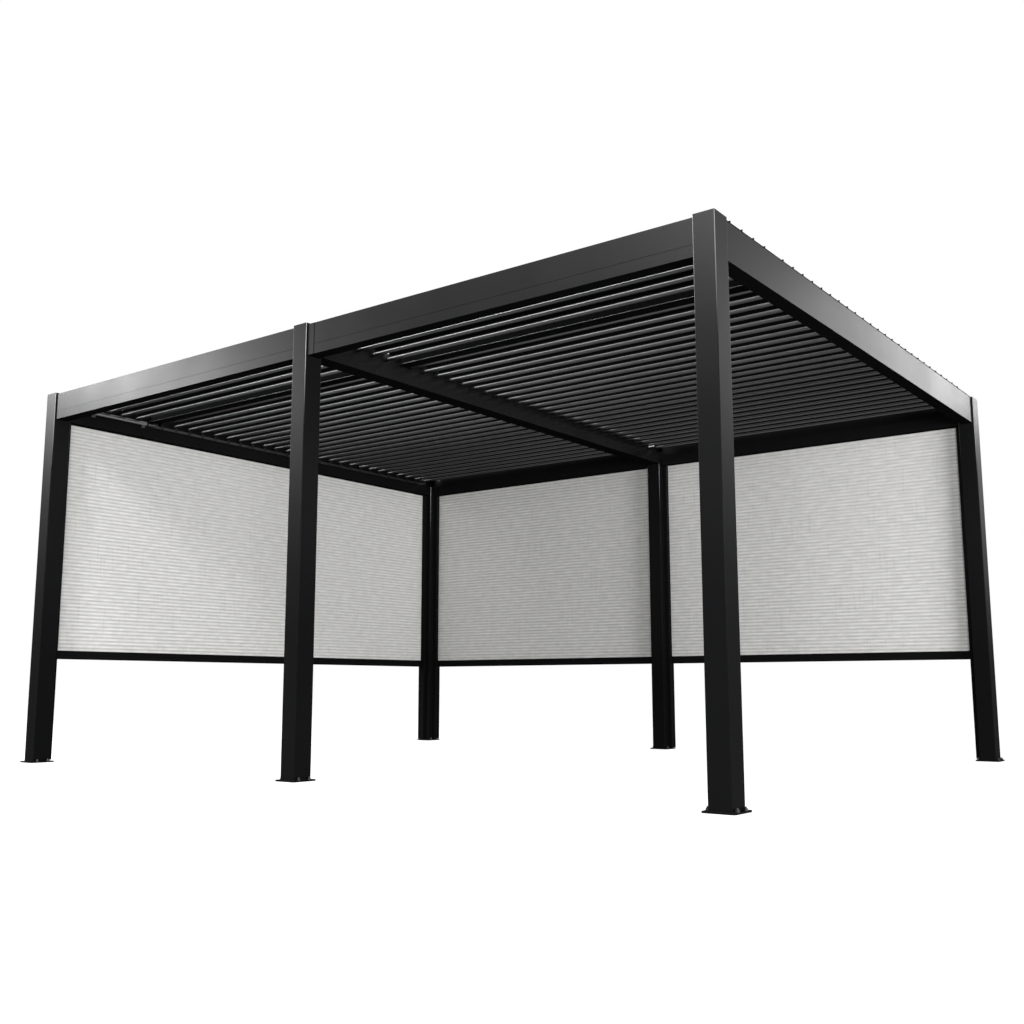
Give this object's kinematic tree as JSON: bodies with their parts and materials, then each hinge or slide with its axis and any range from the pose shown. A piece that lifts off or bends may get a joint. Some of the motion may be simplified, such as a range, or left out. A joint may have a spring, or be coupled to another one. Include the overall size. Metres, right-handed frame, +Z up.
{
  "type": "louvred pergola with roller screens",
  "caption": "Free-standing aluminium pergola with motor-turned roof louvres in two bays, inner gutters and roller screens on its left and back sides.",
  "frame": {"origin": "on the ground under the middle of the pergola", "axes": "+X along the long open front, from its left to its right as seen from in front; +Y from front to back; +Z up"},
  "size_m": [5.154, 4.104, 2.5766],
  "materials": {
    "frame_metal": "satin anthracite powder coat",
    "louvre_metal": "satin anthracite powder coat",
    "drive_metal": "satin",
    "screen_fabric": "woven light grey screen cloth"
  },
  "bodies": {
    "frame": {"post_front_left": "frame_metal", "post_front_middle": "frame_metal", "post_front_right": "frame_metal", "post_back_left": "frame_metal", "post_back_middle": "frame_metal", "post_back_right": "frame_metal", "base_plates": "frame_metal", "post_caps": "frame_metal", "front_beam_left": "frame_metal", "front_beam_right": "frame_metal", "back_beam_left": "frame_metal", "back_beam_right": "frame_metal", "left_beam": "frame_metal", "right_beam": "frame_metal", "middle_beam": "frame_metal", "joint_cover": "frame_metal", "front_rails": "frame_metal", "drive_rails": "frame_metal", "left_screen_fabric": "screen_fabric", "left_screen_bar": "frame_metal", "left_screen_guides": "frame_metal", "back_left_screen_fabric": "screen_fabric", "back_left_screen_bar": "frame_metal", "back_left_screen_guides": "frame_metal", "back_right_screen_fabric": "screen_fabric", "back_right_screen_bar": "frame_metal", "back_right_screen_guides": "frame_metal", "drive_motor": "drive_metal"},
    "louvre_01": {"louvre_01": "louvre_metal"},
    "louvre_02": {"louvre_02": "louvre_metal"},
    "louvre_03": {"louvre_03": "louvre_metal"},
    "louvre_04": {"louvre_04": "louvre_metal"},
    "louvre_05": {"louvre_05": "louvre_metal"},
    "louvre_06": {"louvre_06": "louvre_metal"},
    "louvre_07": {"louvre_07": "louvre_metal"},
    "louvre_08": {"louvre_08": "louvre_metal"},
    "louvre_09": {"louvre_09": "louvre_metal"},
    "louvre_10": {"louvre_10": "louvre_metal"},
    "louvre_11": {"louvre_11": "louvre_metal"},
    "louvre_12": {"louvre_12": "louvre_metal"},
    "louvre_13": {"louvre_13": "louvre_metal"},
    "louvre_14": {"louvre_14": "louvre_metal"},
    "louvre_15": {"louvre_15": "louvre_metal"},
    "louvre_16": {"louvre_16": "louvre_metal"},
    "louvre_17": {"louvre_17": "louvre_metal"},
    "louvre_18": {"louvre_18": "louvre_metal"},
    "louvre_19": {"louvre_19": "louvre_metal"},
    "louvre_20": {"louvre_20": "louvre_metal"},
    "louvre_21": {"louvre_21": "louvre_metal"},
    "louvre_22": {"louvre_22": "louvre_metal"},
    "louvre_23": {"louvre_23": "louvre_metal"},
    "louvre_24": {"louvre_24": "louvre_metal"},
    "louvre_25": {"louvre_25": "louvre_metal"},
    "louvre_26": {"louvre_26": "louvre_metal"},
    "louvre_27": {"louvre_27": "louvre_metal"},
    "louvre_28": {"louvre_28": "louvre_metal"},
    "louvre_29": {"louvre_29": "louvre_metal"},
    "louvre_30": {"louvre_30": "louvre_metal"},
    "drive_bar": {"drive_bar": "drive_metal"},
    "push_rod": {"push_rod": "drive_metal"}
  },
  "joints": [
    {"name": "louvre_01_turn", "type": "hinge", "parent": "frame", "child": "louvre_01", "pos_m": [0, -1.855, 2.445], "axis": [1, 0, 0], "range_deg": [-70, 30]},
    {"name": "louvre_02_turn", "type": "hinge", "parent": "frame", "child": "louvre_02", "pos_m": [0, -1.731, 2.445], "axis": [1, 0, 0], "range_deg": [-70, 30]},
    {"name": "louvre_03_turn", "type": "hinge", "parent": "frame", "child": "louvre_03", "pos_m": [0, -1.607, 2.445], "axis": [1, 0, 0], "range_deg": [-70, 30]},
    {"name": "louvre_04_turn", "type": "hinge", "parent": "frame", "child": "louvre_04", "pos_m": [0, -1.483, 2.445], "axis": [1, 0, 0], "range_deg": [-70, 30]},
    {"name": "louvre_05_turn", "type": "hinge", "parent": "frame", "child": "louvre_05", "pos_m": [0, -1.359, 2.445], "axis": [1, 0, 0], "range_deg": [-70, 30]},
    {"name": "louvre_06_turn", "type": "hinge", "parent": "frame", "child": "louvre_06", "pos_m": [0, -1.145, 2.445], "axis": [1, 0, 0], "range_deg": [-70, 30]},
    {"name": "louvre_07_turn", "type": "hinge", "parent": "frame", "child": "louvre_07", "pos_m": [0, -1.021, 2.445], "axis": [1, 0, 0], "range_deg": [-70, 30]},
    {"name": "louvre_08_turn", "type": "hinge", "parent": "frame", "child": "louvre_08", "pos_m": [0, -0.897, 2.445], "axis": [1, 0, 0], "range_deg": [-70, 30]},
    {"name": "louvre_09_turn", "type": "hinge", "parent": "frame", "child": "louvre_09", "pos_m": [0, -0.773, 2.445], "axis": [1, 0, 0], "range_deg": [-70, 30]},
    {"name": "louvre_10_turn", "type": "hinge", "parent": "frame", "child": "louvre_10", "pos_m": [0, -0.649, 2.445], "axis": [1, 0, 0], "range_deg": [-70, 30]},
    {"name": "louvre_11_turn", "type": "hinge", "parent": "frame", "child": "louvre_11", "pos_m": [0, -0.525, 2.445], "axis": [1, 0, 0], "range_deg": [-70, 30]},
    {"name": "louvre_12_turn", "type": "hinge", "parent": "frame", "child": "louvre_12", "pos_m": [0, -0.401, 2.445], "axis": [1, 0, 0], "range_deg": [-70, 30]},
    {"name": "louvre_13_turn", "type": "hinge", "parent": "frame", "child": "louvre_13", "pos_m": [0, -0.277, 2.445], "axis": [1, 0, 0], "range_deg": [-70, 30]},
    {"name": "louvre_14_turn", "type": "hinge", "parent": "frame", "child": "louvre_14", "pos_m": [0, -0.153, 2.445], "axis": [1, 0, 0], "range_deg": [-70, 30]},
    {"name": "louvre_15_turn", "type": "hinge", "parent": "frame", "child": "louvre_15", "pos_m": [0, -0.029, 2.445], "axis": [1, 0, 0], "range_deg": [-70, 30]},
    {"name": "louvre_16_turn", "type": "hinge", "parent": "frame", "child": "louvre_16", "pos_m": [0, 0.095, 2.445], "axis": [1, 0, 0], "range_deg": [-70, 30]},
    {"name": "louvre_17_turn", "type": "hinge", "parent": "frame", "child": "louvre_17", "pos_m": [0, 0.219, 2.445], "axis": [1, 0, 0], "range_deg": [-70, 30]},
    {"name": "louvre_18_turn", "type": "hinge", "parent": "frame", "child": "louvre_18", "pos_m": [0, 0.343, 2.445], "axis": [1, 0, 0], "range_deg": [-70, 30]},
    {"name": "louvre_19_turn", "type": "hinge", "parent": "frame", "child": "louvre_19", "pos_m": [0, 0.467, 2.445], "axis": [1, 0, 0], "range_deg": [-70, 30]},
    {"name": "louvre_20_turn", "type": "hinge", "parent": "frame", "child": "louvre_20", "pos_m": [0, 0.591, 2.445], "axis": [1, 0, 0], "range_deg": [-70, 30]},
    {"name": "louvre_21_turn", "type": "hinge", "parent": "frame", "child": "louvre_21", "pos_m": [0, 0.715, 2.445], "axis": [1, 0, 0], "range_deg": [-70, 30]},
    {"name": "louvre_22_turn", "type": "hinge", "parent": "frame", "child": "louvre_22", "pos_m": [0, 0.839, 2.445], "axis": [1, 0, 0], "range_deg": [-70, 30]},
    {"name": "louvre_23_turn", "type": "hinge", "parent": "frame", "child": "louvre_23", "pos_m": [0, 0.963, 2.445], "axis": [1, 0, 0], "range_deg": [-70, 30]},
    {"name": "louvre_24_turn", "type": "hinge", "parent": "frame", "child": "louvre_24", "pos_m": [0, 1.087, 2.445], "axis": [1, 0, 0], "range_deg": [-70, 30]},
    {"name": "louvre_25_turn", "type": "hinge", "parent": "frame", "child": "louvre_25", "pos_m": [0, 1.211, 2.445], "axis": [1, 0, 0], "range_deg": [-70, 30]},
    {"name": "louvre_26_turn", "type": "hinge", "parent": "frame", "child": "louvre_26", "pos_m": [0, 1.335, 2.445], "axis": [1, 0, 0], "range_deg": [-70, 30]},
    {"name": "louvre_27_turn", "type": "hinge", "parent": "frame", "child": "louvre_27", "pos_m": [0, 1.459, 2.445], "axis": [1, 0, 0], "range_deg": [-70, 30]},
    {"name": "louvre_28_turn", "type": "hinge", "parent": "frame", "child": "louvre_28", "pos_m": [0, 1.583, 2.445], "axis": [1, 0, 0], "range_deg": [-70, 30]},
    {"name": "louvre_29_turn", "type": "hinge", "parent": "frame", "child": "louvre_29", "pos_m": [0, 1.707, 2.445], "axis": [1, 0, 0], "range_deg": [-70, 30]},
    {"name": "louvre_30_turn", "type": "hinge", "parent": "frame", "child": "louvre_30", "pos_m": [0, 1.831, 2.445], "axis": [1, 0, 0], "range_deg": [-70, 30]},
    {"name": "drive_bar_pin", "type": "hinge", "parent": "louvre_01", "child": "drive_bar", "pos_m": [-2.484, -1.84405, 2.41493], "axis": [1, 0, 0], "range_deg": [-30, 70]},
    {"name": "push_rod_slide", "type": "slide", "parent": "frame", "child": "push_rod", "axis": [0, 1, 0], "range_m": [-0.03442, 0.01481]}
  ],
  "couplings": [
    {"joint": "louvre_02_turn", "follows": "louvre_01_turn", "ratio": 1},
    {"joint": "louvre_03_turn", "follows": "louvre_01_turn", "ratio": 1},
    {"joint": "louvre_04_turn", "follows": "louvre_01_turn", "ratio": 1},
    {"joint": "louvre_05_turn", "follows": "louvre_01_turn", "ratio": 1},
    {"joint": "louvre_06_turn", "follows": "louvre_01_turn", "ratio": 1},
    {"joint": "louvre_07_turn", "follows": "louvre_01_turn", "ratio": 1},
    {"joint": "louvre_08_turn", "follows": "louvre_01_turn", "ratio": 1},
    {"joint": "louvre_09_turn", "follows": "louvre_01_turn", "ratio": 1},
    {"joint": "louvre_10_turn", "follows": "louvre_01_turn", "ratio": 1},
    {"joint": "louvre_11_turn", "follows": "louvre_01_turn", "ratio": 1},
    {"joint": "louvre_12_turn", "follows": "louvre_01_turn", "ratio": 1},
    {"joint": "louvre_13_turn", "follows": "louvre_01_turn", "ratio": 1},
    {"joint": "louvre_14_turn", "follows": "louvre_01_turn", "ratio": 1},
    {"joint": "louvre_15_turn", "follows": "louvre_01_turn", "ratio": 1},
    {"joint": "louvre_16_turn", "follows": "louvre_01_turn", "ratio": 1},
    {"joint": "louvre_17_turn", "follows": "louvre_01_turn", "ratio": 1},
    {"joint": "louvre_18_turn", "follows": "louvre_01_turn", "ratio": 1},
    {"joint": "louvre_19_turn", "follows": "louvre_01_turn", "ratio": 1},
    {"joint": "louvre_20_turn", "follows": "louvre_01_turn", "ratio": 1},
    {"joint": "louvre_21_turn", "follows": "louvre_01_turn", "ratio": 1},
    {"joint": "louvre_22_turn", "follows": "louvre_01_turn", "ratio": 1},
    {"joint": "louvre_23_turn", "follows": "louvre_01_turn", "ratio": 1},
    {"joint": "louvre_24_turn", "follows": "louvre_01_turn", "ratio": 1},
    {"joint": "louvre_25_turn", "follows": "louvre_01_turn", "ratio": 1},
    {"joint": "louvre_26_turn", "follows": "louvre_01_turn", "ratio": 1},
    {"joint": "louvre_27_turn", "follows": "louvre_01_turn", "ratio": 1},
    {"joint": "louvre_28_turn", "follows": "louvre_01_turn", "ratio": 1},
    {"joint": "louvre_29_turn", "follows": "louvre_01_turn", "ratio": 1},
    {"joint": "louvre_30_turn", "follows": "louvre_01_turn", "ratio": 1},
    {"joint": "drive_bar_pin", "follows": "louvre_01_turn", "ratio": -1},
    {"joint": "push_rod_slide", "follows": "louvre_01_turn", "m_per_rad": 0.02809}
  ]
}
